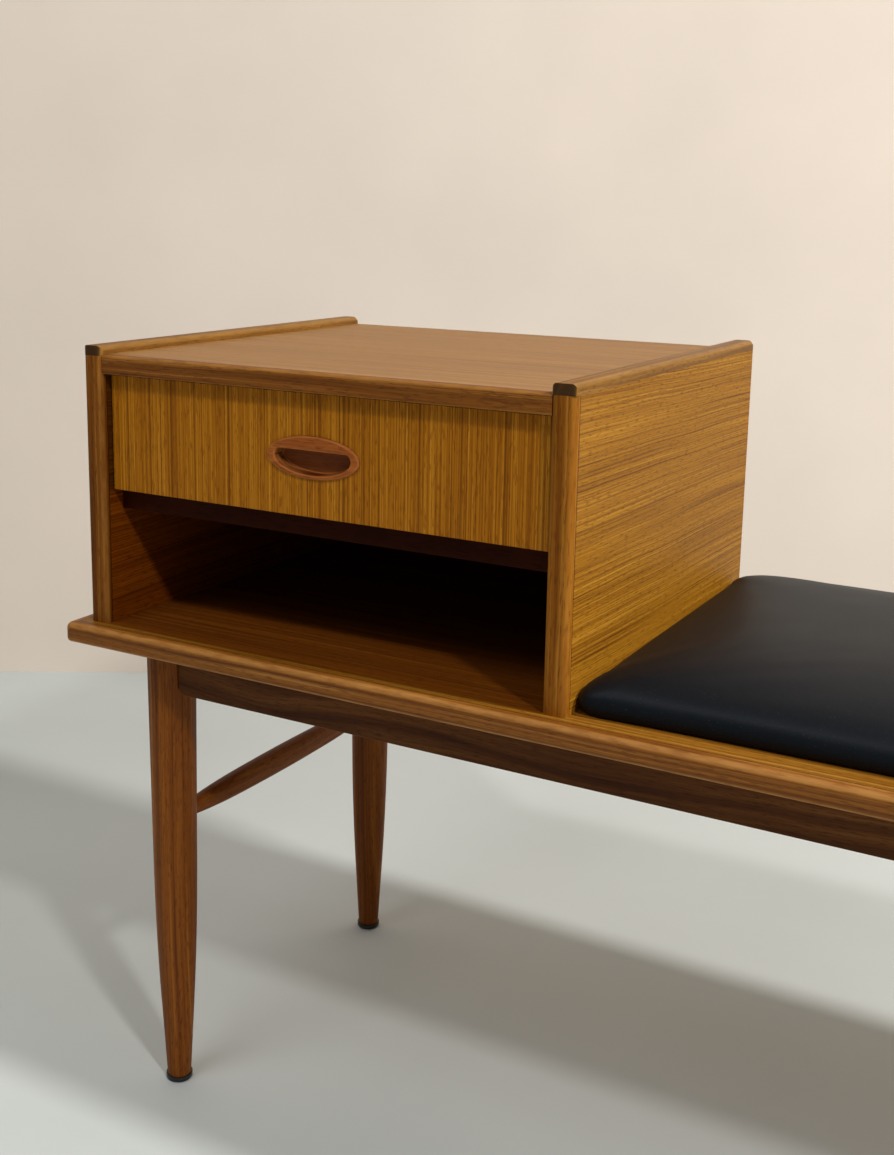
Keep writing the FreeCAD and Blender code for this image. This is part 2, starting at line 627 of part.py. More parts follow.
def drawer_inside():
    """The back in its housings, and the bottom in its grooves with three screws behind."""
    wide = "(%s - 2 * (side_thick - groove_deep))" % DRAWER_WIDTH
    left_edge = "%s + side_thick - groove_deep" % DRAWER_LEFT
    back_start = "(box_long - box_back_inset - box_back_thick)"
    rows = [("%s / 2 + %d * bottom_screw_pitch" % (wide, step), "box_back_thick / 2")
            for step in (-1, 0, 1)]
    back = board("drawer_back",
                 (wide, "box_back_thick", "box_high - bottom_high - bottom_thick"),
                 (left_edge, "%s + %s" % (BOX_START, back_start),
                  "%s + bottom_high + bottom_thick" % BOX_LOW))
    screw_holes(back, "bottom_pilots", "XY_Plane", "0", rows, "pin_wide",
                "back_screw - bottom_thick + screw_spare", reverse=True)
    bottom_start = "(%s - groove_deep)" % TAIL_LONG
    bottom = board("drawer_bottom", (wide, "box_long - %s" % bottom_start, "bottom_thick"),
                   (left_edge, "%s + %s" % (BOX_START, bottom_start),
                    "%s + bottom_high" % BOX_LOW))
    spots = [(across, "%s - %s + %s" % (back_start, bottom_start, back)) for across, back in rows]
    screw_holes(bottom, "bottom_holes", "XY_Plane", "0", spots, "pin_wide", "bottom_thick",
                head="pin_head", reverse=True)
    turned_copies("drawer_bottom_screws", wood_screw("pin_wide", "pin_head", "back_screw"),
                  [("%s + %s" % (left_edge, across),
                    "%s + %s + %s" % (BOX_START, back_start, back),
                    "%s + bottom_high" % BOX_LOW) for across, back in rows])


# The legs, rails and spindles

def leg(label, degrees, across, back, hole_forward):
    """A turned leg: two seats for the rails with their mortises, and the spindle's socket."""
    body = new_body(label)
    profile = new_sketch(body, label + "_profile", "XZ_Plane", "0")
    draw(profile, [
        ("0", "glide_thick"),
        ("leg_foot / 2", "glide_thick"),
        ("leg_lower / 2", "leg_lower_high", "leg_swell"),
        ("leg_upper / 2", "leg_upper_high"),
        ("leg_top / 2", BOARD_UNDERSIDE),
        ("0", BOARD_UNDERSIDE)])
    revolve(body, profile)
    reach = "(leg_top / 2 + rail_corner)"
    seat = [
        ("rail_seat", "%s + rail_corner" % RAIL_LOW, "rail_corner * %s" % QUARTER_BEND),
        ("rail_seat + rail_corner", RAIL_LOW),
        (reach, RAIL_LOW),
        (reach, BOARD_UNDERSIDE),
        ("rail_seat", BOARD_UNDERSIDE)]
    for role in ("XZ_Plane", "YZ_Plane"):
        sketch = new_sketch(body, "seat_" + role[:2], role, "0")
        draw(sketch, seat)
        pocket(body, sketch, "leg_top", middle=True)
    tenon_low = "%s + (rail_high - tenon_high) / 2" % RAIL_LOW
    deep = "tenon_long + tenon_spare"
    cut_box(body, "mortise_across", ("rail_seat - (%s)" % deep, "-tenon_thick / 2", tenon_low),
            (deep, "tenon_thick", "tenon_high"))
    cut_box(body, "mortise_back", ("-tenon_thick / 2", "rail_seat - (%s)" % deep, tenon_low),
            ("tenon_thick", deep, "tenon_high"))
    role = "YZ_Plane" if hole_forward else "XZ_Plane"
    screw_holes(body, "spindle_socket", role, "leg_top / 2", [("0", "spindle_high")],
                "spindle_end", "leg_top / 2 - spindle_deep + tenon_spare",
                reverse=not hole_forward)
    screw_holes(body, "nail_hole", "XY_Plane", "glide_thick", [("0", "0")], "nail_wide",
                "nail_long + screw_spare", reverse=True)
    turn(body, FreeCAD.Vector(0, 0, 1), degrees)
    place(body, across, back, "0")


def rail(label, long, degrees, across, back):
    """An apron or end rail: lower corners rounded to the legs' seats, a tenon at each end."""
    body = new_body(label)
    half = "(%s / 2)" % long
    swell = "rail_corner * %s" % QUARTER_BEND
    sketch = new_sketch(body, label + "_face", "XZ_Plane", "0")
    draw(sketch, [
        ("-%s" % half, "rail_corner", swell),
        ("-%s + rail_corner" % half, "0"),
        ("%s - rail_corner" % half, "0", swell),
        (half, "rail_corner"),
        (half, "rail_high"),
        ("-%s" % half, "rail_high")])
    pad(body, sketch, "rail_thick", middle=True)
    round_edges(body, edges_at(body, z="0"), "rail_round")
    tenon = new_sketch(body, label + "_tenon", "XZ_Plane", "0")
    draw(tenon, rectangle("-%s - tenon_long" % half, "(rail_high - tenon_high) / 2",
                          "2 * (%s + tenon_long)" % half, "tenon_high"))
    pad(body, tenon, "tenon_thick", middle=True)
    turn(body, FreeCAD.Vector(0, 0, 1), degrees)
    place(body, across, back, RAIL_LOW)


def spindle(label, across):
    """A stretcher turned thin at its ends and full in the middle."""
    body = new_body(label)
    long = "(2 * (%s - spindle_deep))" % LEG_BACK
    neck = "(spindle_shoulder - spindle_deep)"
    knee = "(spindle_knee - spindle_deep)"
    sketch = new_sketch(body, label + "_profile", "XZ_Plane", "0")
    draw(sketch, [
        ("0", "0"),
        ("spindle_end / 2", "0"),
        ("spindle_end / 2", neck, "knee_swell"),
        ("spindle_knuckle / 2", knee, "middle_swell"),
        ("spindle_knuckle / 2", "%s - %s" % (long, knee), "knee_swell"),
        ("spindle_end / 2", "%s - %s" % (long, neck)),
        ("spindle_end / 2", long),
        ("0", long)])
    revolve(body, sketch)
    turn(body, FreeCAD.Vector(1, 0, 0), -90)
    place(body, across, "-%s / 2" % long, "spindle_high")


BLOCK_COLUMNS = ("-block_pitch", "0", "block_pitch")
BLOCK_ROWS = ["%s (%s - rail_thick / 2 - block_side / 2)" % (sign, LEG_BACK)
              for sign in ("-", "+")]


def base_fixings():
    """Glides under the legs, and the screwed blocks that hold the board to its rails."""
    spots = [("%s%s" % (side, LEG_ACROSS), "%s%s" % (end, LEG_BACK), "0")
             for side in ("-", "") for end in ("-", "")]
    turned_copies("leg_glides", [
        ("0", "0"),
        ("glide_wide / 2 - glide_round", "0", "glide_round * %s" % QUARTER_BEND),
        ("glide_wide / 2", "glide_round"),
        ("glide_wide / 2", "glide_thick"),
        ("nail_wide / 2", "glide_thick"),
        ("nail_wide / 2", "glide_thick + nail_long"),
        ("0", "glide_thick + nail_long")], spots)
    blocks = []
    low = "%s - block_side" % BOARD_UNDERSIDE
    places = [(column, row) for column in BLOCK_COLUMNS for row in BLOCK_ROWS]
    for index, (column, row) in enumerate(places, start=1):
        block = doc.addObject("Part::Box", "block_%d" % index)
        for name, formula in (("Length", "block_long"), ("Width", "block_side"),
                              ("Height", "block_side")):
            block.setExpression(name, named(formula))
        place(block, "%s - block_long / 2" % column, "%s - block_side / 2" % row, low)
        drill = doc.addObject("Part::Cylinder", "block_drill_%d" % index)
        drill.setExpression("Radius", named("screw_wide / 2"))
        drill.setExpression("Height", named("block_side"))
        place(drill, column, row, low)
        sink = doc.addObject("Part::Cone", "block_sink_%d" % index)
        sink.setExpression("Radius1", named("screw_head / 2"))
        sink.setExpression("Radius2", named("screw_wide / 2"))
        sink.setExpression("Height", named("(screw_head - screw_wide) / 2"))
        place(sink, column, row, low)
        hole = doc.addObject("Part::Fuse", "block_hole_%d" % index)
        hole.Base = drill
        hole.Tool = sink
        drilled = doc.addObject("Part::Cut", "drilled_block_%d" % index)
        drilled.Base = block
        drilled.Tool = hole
        blocks.append(drilled)
    group("fixing_blocks", blocks)
    turned_copies("fixing_screws", wood_screw("screw_wide", "screw_head", "block_screw"),
                  [(column, row, low) for column, row in places])


# The seat

SEAT_SCREWS = ("%s + seat_screw_inset" % SEAT_LEFT,
               "%s + %s - seat_screw_inset" % (SEAT_LEFT, SEAT_LONG))
TUCK_STEPS = 3
CROWN_STEPS = 10


def cushion_levels():
    """Each level of the cover: its height, and how far it is drawn in from the widest one.
    A quarter oval tucks the sides in below, and the crown swells above them."""
    for step in range(TUCK_STEPS):
        angle = math.pi / 2 * step / TUCK_STEPS
        yield (number("tuck_high") * (1 - math.cos(angle)),
               number("tuck_in") * (1 - math.sin(angle)))
    for step in range(CROWN_STEPS + 1):
        angle = math.pi / 2 * step / CROWN_STEPS
        yield (number("tuck_high") + number("crown_rise") * math.sin(angle),
               number("crown_in") * (1 - math.cos(angle)) ** number("crown_fullness"))


def rounded_ring(low_left, size, corner, up):
    """A level wire of four lines and four quarter arcs."""
    left, front = low_left
    right = left + size[0]
    rear = front + size[1]
    bend = corner * (1 - math.sqrt(0.5))
    runs = (((left + corner, front), (right - corner, front), (right - bend, front + bend)),
            ((right, front + corner), (right, rear - corner), (right - bend, rear - bend)),
            ((right - corner, rear), (left + corner, rear), (left + bend, rear - bend)),
            ((left, rear - corner), (left, front + corner), (left + bend, front + bend)))
    edges = []
    for index, (start, end, middle) in enumerate(runs):
        following = runs[(index + 1) % 4][0]
        spots = [FreeCAD.Vector(x, y, up) for x, y in (start, end, middle, following)]
        edges.append(Part.makeLine(spots[0], spots[1]))
        edges.append(Part.Arc(spots[1], spots[2], spots[3]).toShape())
    return Part.Wire(edges)


def seat_pad():
    """The plywood base and the padded cover: crowned above, its sides drawn in below."""
    inset = "seat_inset"
    base = board("seat_base",
                 ("%s - 2 * %s" % (SEAT_LONG, inset), "cushion_depth - 2 * %s" % inset,
                  "plywood_thick"),
                 ("%s + %s" % (SEAT_LEFT, inset), "%s - cushion_depth / 2" % inset,
                  "seat_height"))
    pilots = [("%s - %s - %s" % (across, SEAT_LEFT, inset),
               "cushion_depth / 2 - %s + %s" % (inset, row))
              for across in SEAT_SCREWS for row in ("-screw_row", "screw_row")]
    screw_holes(base, "seat_pilots", "XY_Plane", "0", pilots, "screw_wide",
                "seat_screw - board_thick + screw_spare", reverse=True)
    turned_copies("seat_screws", wood_screw("screw_wide", "screw_head", "seat_screw"),
                  [(across, row, BOARD_UNDERSIDE) for across in SEAT_SCREWS
                   for row in ("-screw_row", "screw_row")])
    long = number(SEAT_LONG)
    deep = number("cushion_depth")
    rings = [rounded_ring((drawn, drawn), (long - 2 * drawn, deep - 2 * drawn),
                          number("cushion_corner") + number("corner_spread") * drawn, up)
             for up, drawn in cushion_levels()]
    cover = Part.makeLoft(rings, True, True)
    hollow = Part.makeBox(number("%s - 2 * %s" % (SEAT_LONG, inset)),
                          number("cushion_depth - 2 * %s" % inset), number("plywood_thick"),
                          FreeCAD.Vector(number(inset), number(inset), 0))
    cushion = doc.addObject("Part::Feature", "seat_cushion")
    cushion.Label = "seat_cushion"
    cushion.Shape = cover.cut(hollow).Solids[0]
    place(cushion, SEAT_LEFT, "-cushion_depth / 2", "seat_height")
    nodes.append(cushion)


# The whole bench

bench_board()
board_lippings()
side_panel("left_side_panel", LEFT, True)
side_panel("right_side_panel", RIGHT_PANEL, False)
panel_lippings("left", LEFT)
panel_lippings("right", RIGHT_PANEL)
cabinet_top()
cabinet_inside()
cabinet_fixings()

drawer_front()
drawer_pull()
drawer_side("drawer_left_side", DRAWER_LEFT, True)
drawer_side("drawer_right_side", "%s + %s - side_thick" % (DRAWER_LEFT, DRAWER_WIDTH), False)
drawer_inside()

leg("front_left_leg", 0, "-" + LEG_ACROSS, "-" + LEG_BACK, False)
leg("front_right_leg", 90, LEG_ACROSS, "-" + LEG_BACK, True)
leg("rear_right_leg", 180, LEG_ACROSS, LEG_BACK, False)
leg("rear_left_leg", 270, "-" + LEG_ACROSS, LEG_BACK, True)
APRON_LONG = "(2 * (%s - rail_seat))" % LEG_ACROSS
END_LONG = "(2 * (%s - rail_seat))" % LEG_BACK
rail("front_apron", APRON_LONG, 0, "0", "-" + LEG_BACK)
rail("rear_apron", APRON_LONG, 0, "0", LEG_BACK)
rail("left_end_rail", END_LONG, 90, "-" + LEG_ACROSS, "0")
rail("right_end_rail", END_LONG, 90, LEG_ACROSS, "0")
spindle("left_stretcher", "-" + LEG_ACROSS)
spindle("right_stretcher", LEG_ACROSS)
base_fixings()
seat_pad()

doc.recompute()
for thing in doc.Objects:
    if "Invalid" in thing.State or "Error" in thing.State:
        raise RuntimeError("%s did not recompute" % thing.Label)
for node in nodes:
    if node.Shape.isNull() or not node.Shape.isValid():
        raise RuntimeError("%s has no valid shape" % node.Label)
for node in nodes:
    node.Shape.exportStep("parts/%s.step" % node.Label)
print("%d nodes written" % len(nodes))
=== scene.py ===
import math

import bpy
from mathutils import Matrix, Vector


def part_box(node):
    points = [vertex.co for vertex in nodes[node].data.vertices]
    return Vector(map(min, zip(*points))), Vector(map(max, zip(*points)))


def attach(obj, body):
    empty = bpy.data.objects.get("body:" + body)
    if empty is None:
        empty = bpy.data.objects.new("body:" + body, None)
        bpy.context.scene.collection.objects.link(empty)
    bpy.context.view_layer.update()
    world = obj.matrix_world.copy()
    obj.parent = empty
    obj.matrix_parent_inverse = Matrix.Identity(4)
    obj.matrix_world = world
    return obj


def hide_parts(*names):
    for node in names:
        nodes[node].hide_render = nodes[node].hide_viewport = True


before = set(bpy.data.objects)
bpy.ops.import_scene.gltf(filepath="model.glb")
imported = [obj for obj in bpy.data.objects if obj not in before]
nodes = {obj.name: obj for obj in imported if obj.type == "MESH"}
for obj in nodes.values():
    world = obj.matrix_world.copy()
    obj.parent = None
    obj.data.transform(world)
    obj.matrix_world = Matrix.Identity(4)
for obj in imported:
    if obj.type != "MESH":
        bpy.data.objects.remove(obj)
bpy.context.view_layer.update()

# Telephone bench in teak. Metres, +Z up, front towards -Y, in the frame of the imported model.

MM = 0.001

# Colours, as written in sRGB from 0 to 255. Each wood has its dark lines, then a low, a
# middle and a high tone.

TOP_TONES = ((116, 75, 30), (142, 97, 45), (154, 108, 52), (168, 123, 66))
DRAWER_TONES = ((108, 56, 4), (150, 88, 9), (176, 109, 15), (206, 142, 42))
SIDE_TONES = ((92, 50, 5), (142, 91, 17), (166, 111, 24), (190, 138, 46))
BOARD_TONES = ((92, 50, 8), (122, 74, 14), (142, 92, 22), (164, 114, 42))
EDGE_TONES = ((84, 42, 7), (118, 66, 15), (142, 87, 28), (174, 122, 60))
LIPPING_TONES = ((78, 37, 6), (110, 59, 11), (132, 77, 21), (162, 110, 48))
STILE_TONES = ((88, 43, 5), (124, 70, 9), (150, 90, 18), (180, 124, 48))
STRIP_TONES = ((76, 42, 8), (112, 71, 18), (133, 88, 28), (160, 115, 48))
APRON_TONES = ((50, 21, 4), (77, 39, 11), (97, 56, 20), (124, 78, 37))
LEG_TONES = ((72, 31, 3), (108, 55, 9), (131, 72, 16), (158, 98, 32))
PULL_TONES = ((92, 38, 10), (138, 68, 22), (163, 88, 32), (190, 118, 54))
# The divider and stops: tones made near black, as painted shade
INNER_SHADE_TONES = ((40, 18, 4), (58, 28, 8), (70, 36, 12), (86, 48, 20))
BACK_TONES = ((112, 76, 40), (150, 108, 64), (168, 126, 80), (186, 146, 98))
PALE_TONES = ((150, 112, 74), (196, 162, 118), (214, 184, 142), (228, 202, 164))
LEATHER_TONES = ((3, 9, 16), (6, 13, 21))
DUST = (96, 94, 90)
GLIDE_PLASTIC = (26, 26, 25)
STEEL = (168, 166, 160)
FLOOR = (210, 216, 214)
WALL = (234, 220, 206)

# What a colour is multiplied by, as linear values

UNTINTED = (1.0, 1.0, 1.0, 1.0)
# Painted shade inside the cabinet's opening, darkest round the drawer
OPENING_SHADE_TINT = (0.56, 0.29, 0.09, 1.0)
DRAWER_ROOM_SHADE_TINT = (0.22, 0.15, 0.10, 1.0)
# Painted shade in the pull's hollow
HOLLOW_SHADE_TINT = (0.30, 0.18, 0.10, 1.0)


def darker(tone, share):
    """A colour brought down to a share of itself."""
    return tuple(share * value for value in tone)


def linear(tone):
    """A colour from 0 to 255 as the linear value that a shader takes."""
    def channel(value):
        value = value / 255
        return value / 12.92 if value <= 0.04045 else ((value + 0.055) / 1.055) ** 2.4
    return tuple(channel(value) for value in tone) + (1.0,)


# Shader nodes

AXES = {"X": 0, "Y": 1, "Z": 2}


def put(tree, kind, inputs=None, **settings):
    """One node, with its settings and with values or links on its inputs."""
    made = tree.nodes.new(kind)
    for name, value in settings.items():
        setattr(made, name, value)
    for key, value in (inputs or {}).items():
        if isinstance(value, bpy.types.NodeSocket):
            tree.links.new(value, made.inputs[key])
        else:
            made.inputs[key].default_value = value
    return made


def maths(tree, operation, first, second=0.0):
    """The result of a Math node."""
    return put(tree, "ShaderNodeMath", {0: first, 1: second}, operation=operation).outputs[0]


def times(tree, first, second):
    """Two values multiplied."""
    return maths(tree, "MULTIPLY", first, second)


def plus(tree, first, second):
    """Two values added."""
    return maths(tree, "ADD", first, second)


def gap(tree, first, second):
    """How far apart two values are."""
    return maths(tree, "ABSOLUTE", maths(tree, "SUBTRACT", first, second))


def piece_spot(tree):
    """A point in the piece's own coordinates."""
    return put(tree, "ShaderNodeTexCoord").outputs["Object"]


def split(tree, spot):
    """The three parts of a point."""
    return put(tree, "ShaderNodeSeparateXYZ", {0: spot}).outputs


def joined(tree, first, second, third):
    """A point from its three parts."""
    return put(tree, "ShaderNodeCombineXYZ", {0: first, 1: second, 2: third}).outputs[0]


def stretched(tree, spot, factors):
    """A point with each axis scaled by its own factor."""
    made = put(tree, "ShaderNodeVectorMath", {0: spot, 1: factors}, operation="MULTIPLY")
    return made.outputs[0]


def noise(tree, spot, factors, detail=2.0, roughness=0.5):
    """A noise from 0 to 1 whose grains are stretched along the axes."""
    made = put(tree, "ShaderNodeTexNoise",
               {"Vector": stretched(tree, spot, factors), "Scale": 1.0, "Detail": detail,
                "Roughness": roughness})
    return made.outputs["Fac"]


def between(tree, value, low, high, start=0.0, end=1.0):
    """The value eased from start to end as it goes from low to high."""
    made = put(tree, "ShaderNodeMapRange", {0: value, 1: low, 2: high, 3: start, 4: end},
               interpolation_type="SMOOTHSTEP")
    return made.outputs[0]


def blended(tree, share, under, over, way="MIX"):
    """Two colours mixed by share."""
    made = put(tree, "ShaderNodeMix", {0: share, 6: under, 7: over},
               data_type="RGBA", blend_type=way)
    return made.outputs[2]


def ramp(tree, value, stops):
    """A colour ramp through (place, colour) stops."""
    made = put(tree, "ShaderNodeValToRGB", {0: value})
    band = made.color_ramp
    band.elements[0].position = stops[0][0]
    band.elements[0].color = linear(stops[0][1])
    band.elements[1].position = stops[-1][0]
    band.elements[1].color = linear(stops[-1][1])
    for place, tone in stops[1:-1]:
        band.elements.new(place).color = linear(tone)
    return made.outputs[0]


def new_finish(name):
    """An empty material with its surface shader."""
    finish = bpy.data.materials.new(name)
    finish.use_nodes = True
    tree = finish.node_tree
    return finish, tree, tree.nodes["Principled BSDF"]


def lay(tree, surface, colour, rough, relief, strength, depth):
    """Give the surface its colour, its roughness and a fine relief."""
    tree.links.new(colour, surface.inputs["Base Color"])
    tree.links.new(rough, surface.inputs["Roughness"])
    bump = put(tree, "ShaderNodeBump", {"Strength": strength, "Distance": depth,
                                        "Height": relief})
    tree.links.new(bump.outputs[0], surface.inputs["Normal"])


# The shelf and drawer opening, where the wood gets painted shade

SHELTER_LOW = (-0.5125, -0.186, 0.4085)
SHELTER_HIGH = (-0.1275, 0.1815, 0.6120)
DRAWER_ROOM = 0.5175


def sheltered(tree):
    """One inside the cabinet's opening and nought outside."""
    inside = 1.0
    for part, low, high in zip(split(tree, piece_spot(tree)), SHELTER_LOW, SHELTER_HIGH):
        within = times(tree, maths(tree, "GREATER_THAN", part, low),
                       maths(tree, "LESS_THAN", part, high))
        inside = times(tree, within, inside)
    return inside


def painted_opening_shade(tree, share):
    """Painted shade: what the wood inside the opening is multiplied by, darker and redder, most
    round the drawer.
    """
    height = split(tree, piece_spot(tree))[2]
    above = maths(tree, "GREATER_THAN", height, DRAWER_ROOM)
    dark = blended(tree, above, OPENING_SHADE_TINT, DRAWER_ROOM_SHADE_TINT)
    return blended(tree, times(tree, sheltered(tree), share), UNTINTED, dark)


# Where one piece of wood meets the next, and the gaps round the drawer front that get a
# painted shadow: the axis across the line and its place on it

PANEL_JOINT = (("Y", -0.181),)
BOARD_JOINTS = (("Y", -0.194), ("Y", 0.194), ("X", -0.537), ("X", 0.537))
TOP_JOINT = (("Y", -0.179),)
# Painted shadows in the gaps above and beside the drawer front
DRAWER_GAP_SHADOWS = (("Z", 0.6102), ("X", -0.5112), ("X", -0.1288))

# How dark and how wide the dark joints and the painted gap shadows are
JOINT_SHARE, JOINT_SHADE = 0.8, 0.4
JOINT_EDGE, JOINT_CORE, JOINT_CRUMBS = 0.5 * MM, -0.1 * MM, -1.3 * MM


def joint_and_gap_shadow_lines(tree, joints):
    """Dark broken lines, one to each joint, where the glue and old wax have gathered, and
    painted shadows in the gaps round the drawer front.
    """
    place = piece_spot(tree)
    parts = split(tree, place)
    crumbs = times(tree, noise(tree, place, (520, 520, 520)), JOINT_CRUMBS)
    shown = 0.0
    for axis, middle in joints:
        away = plus(tree, gap(tree, parts[AXES[axis]], middle), crumbs)
        shown = maths(tree, "MAXIMUM", shown, between(tree, away, JOINT_EDGE, JOINT_CORE))
    return shown


# Teak

DRIFT_STRETCH = (3.2, 5.0, 5.0)
PORE_STRETCH = (110.0, 900.0, 900.0)
PATCH_STRETCH = (60.0, 260.0, 260.0)
BROAD_SHARE, LINE_SHARE = 0.15, 0.85
TONE_SPREAD = 0.17
TONE_PLACES = (0.0, 0.28, 0.62, 1.0)
LEAF_LINE, LEAF_FADE, LEAF_SHADE = 0.2, 0.9, 0.7
HOLLOW_FLOOR = 0.38
RUBBED_PATCHES, RUBBED_ALL = 0.6, 0.4
END_SHADE = 0.55
LINE_ROUGHNESS, LINE_RELIEF = 0.16, 0.35
GRAIN_STRENGTH, GRAIN_DEPTH = 0.35, 0.12 * MM


def grain_spot(tree, along, across, shift, tilt):
    """A point with X along the grain, Y across the face and Z into the wood."""
    turn = tuple(math.radians(angle) for angle in tilt)
    moved = put(tree, "ShaderNodeMapping",
                {"Vector": piece_spot(tree), "Location": shift, "Rotation": turn}).outputs[0]
    parts = split(tree, moved)
    depth = (set(AXES) - {along, across}).pop()
    return joined(tree, parts[AXES[along]], parts[AXES[across]], parts[AXES[depth]])


def growth(tree, spot, pith, wander):
    """How far a point lies across the growth lines, which wander a little on their way."""
    parts = split(tree, spot)
    drift = maths(tree, "SUBTRACT", noise(tree, spot, DRIFT_STRETCH), 0.5)
    drift = times(tree, drift, 2 * wander * MM)
    if not pith:
        return plus(tree, parts[1], drift)
    side = maths(tree, "SUBTRACT", parts[1], pith[0] * MM)
    deep = maths(tree, "SUBTRACT", parts[2], pith[1] * MM)
    square = plus(tree, times(tree, side, side), times(tree, deep, deep))
    return plus(tree, maths(tree, "SQRT", square), drift)


def pinstripes(tree, ring, leaf, gate):
    """A dark line at the edge of every leaf of veneer, stronger and weaker along its way."""
    turn = maths(tree, "FRACT", maths(tree, "DIVIDE", ring, leaf * MM))
    band = between(tree, gap(tree, turn, 0.5), 0.5 - LEAF_FADE / leaf, 0.5 - LEAF_LINE / leaf)
    return times(tree, band, between(tree, gate, 0.30, 0.55, 0.15, 0.6))


def hollow_shade(tree, hollow):
    """Painted shade in a hollow: what it is multiplied by, dark on its walls and less dark on
    its floor.
    """
    depth = split(tree, piece_spot(tree))[1]
    mouth, wall, cove, floor = hollow
    dark = times(tree, between(tree, depth, mouth, wall),
                 between(tree, depth, cove, floor, 1.0, HOLLOW_FLOOR))
    return blended(tree, dark, UNTINTED, HOLLOW_SHADE_TINT)


def rubbed_and_highlit_arrises(tree, spot, sides):
    """Where hands and cloths have rubbed the edges, in patches, with a painted highlight along
    the rounded arrises.
    """
    pairs = [maths(tree, "ABSOLUTE", times(tree, sides[one], sides[two]))
             for one, two in ((0, 1), (1, 2), (0, 2))]
    arris = plus(tree, plus(tree, pairs[0], pairs[1]), pairs[2])
    patches = between(tree, noise(tree, spot, PATCH_STRETCH, 3.0), 0.32, 0.62)
    return times(tree, between(tree, arris, 0.14, 0.46),
                 plus(tree, times(tree, patches, RUBBED_PATCHES), RUBBED_ALL))


def teak(name, tones, along, across, shift=(0, 0, 0), tilt=(0, 0, 0), pith=None,
         wander=1.5, spacing=420.0, contrast=1.0, stripe=0.55, pore=0.5, worn_and_highlit=0.0,
         end_grain=0.0, sheen=0.5, polish=0.16, opening_shade=0.0, joints=(), leaf=0.0,
         hollow=None):
    """Oiled teak. Lines run along the grain, straight on a veneer and curved round a pith on
    solid wood. Arrises are lighter, partly worn and partly a painted highlight, end grain is
    darker, and the pores are fine dashes. A leaf gives the veneer a dark pinstripe at that
    distance in millimetres, joints are darkened, gaps get a painted shadow, the walls of a
    hollow get painted shade between the depths of its mouth and floor, and the wood inside
    the opening gets painted shade."""
    finish, tree, surface = new_finish(name)
    dark = linear(tones[0])
    spot = grain_spot(tree, along, across, shift, tilt)
    ring = growth(tree, spot, pith, wander)
    line_spot = joined(tree, split(tree, spot)[0], ring, 0.0)
    broad = noise(tree, line_spot, (1.4, spacing * 0.07, 1))
    lines = noise(tree, line_spot, (2.6, spacing, 1), 5.0, 0.7)
    tone = plus(tree, times(tree, broad, BROAD_SHARE), times(tree, lines, LINE_SHARE))
    spread = TONE_SPREAD / contrast
    tone = put(tree, "ShaderNodeMapRange",
               {0: tone, 1: 0.5 - spread, 2: 0.5 + spread, 3: 0.0, 4: 1.0}).outputs[0]
    colour = ramp(tree, tone, list(zip(TONE_PLACES, tones)))

    thin = noise(tree, line_spot, (0.9, spacing * 0.8, 1), 0.0)
    gate = noise(tree, line_spot, (1.7, spacing * 0.11, 1), 1.0)
    thin = times(tree, between(tree, thin, 0.58, 0.70), between(tree, gate, 0.45, 0.62))
    colour = blended(tree, times(tree, thin, stripe), colour, dark)
    if leaf:
        colour = blended(tree, pinstripes(tree, ring, leaf, gate), colour,
                         linear(darker(tones[0], LEAF_SHADE)))
    pores = between(tree, noise(tree, spot, PORE_STRETCH, 1.0), 0.54, 0.70)
    colour = blended(tree, times(tree, pores, pore), colour, dark)

    if opening_shade:
        colour = blended(tree, 1.0, colour, painted_opening_shade(tree, opening_shade), "MULTIPLY")
    if joints:
        colour = blended(tree, times(tree, joint_and_gap_shadow_lines(tree, joints), JOINT_SHARE), colour,
                         linear(darker(tones[0], JOINT_SHADE)))
    if hollow:
        colour = blended(tree, 1.0, colour, hollow_shade(tree, hollow), "MULTIPLY")
    sides = split(tree, put(tree, "ShaderNodeTexCoord").outputs["Normal"])
    if worn_and_highlit:
        colour = blended(tree, times(tree, rubbed_and_highlit_arrises(tree, spot, sides), worn_and_highlit), colour,
                         linear(tones[3]))
    if end_grain:
        ends = between(tree, maths(tree, "ABSOLUTE", sides[AXES[along]]), 0.6, 0.9)
        colour = blended(tree, times(tree, ends, end_grain), colour,
                         linear(darker(tones[0], END_SHADE)))

    rough = plus(tree, times(tree, lines, LINE_ROUGHNESS), sheen - LINE_ROUGHNESS / 2)
    relief = maths(tree, "SUBTRACT", times(tree, lines, LINE_RELIEF), pores)
    lay(tree, surface, colour, rough, relief, GRAIN_STRENGTH, GRAIN_DEPTH)
    surface.inputs["Specular IOR Level"].default_value = polish
    return finish


# Leather, plastic and steel

LEATHER_CELLS, LEATHER_BEND = 900.0, (220, 220, 220)
LEATHER_ROUGH, CLOUD_ROUGHNESS, LEATHER_POLISH = 0.43, 0.12, 0.19
CELL_STRENGTH, CELL_DEPTH = 0.25, 0.15 * MM
DUST_STRETCH, DUST_SHARE = (1400, 1400, 1400), 0.35
SCUFF_STRETCH, SCUFF_SHADE, SCUFF_ROUGHNESS = (400, 400, 400), 0.78, 0.2
SCUFF_STRENGTH, SCUFF_DEPTH = 0.2, 0.05 * MM


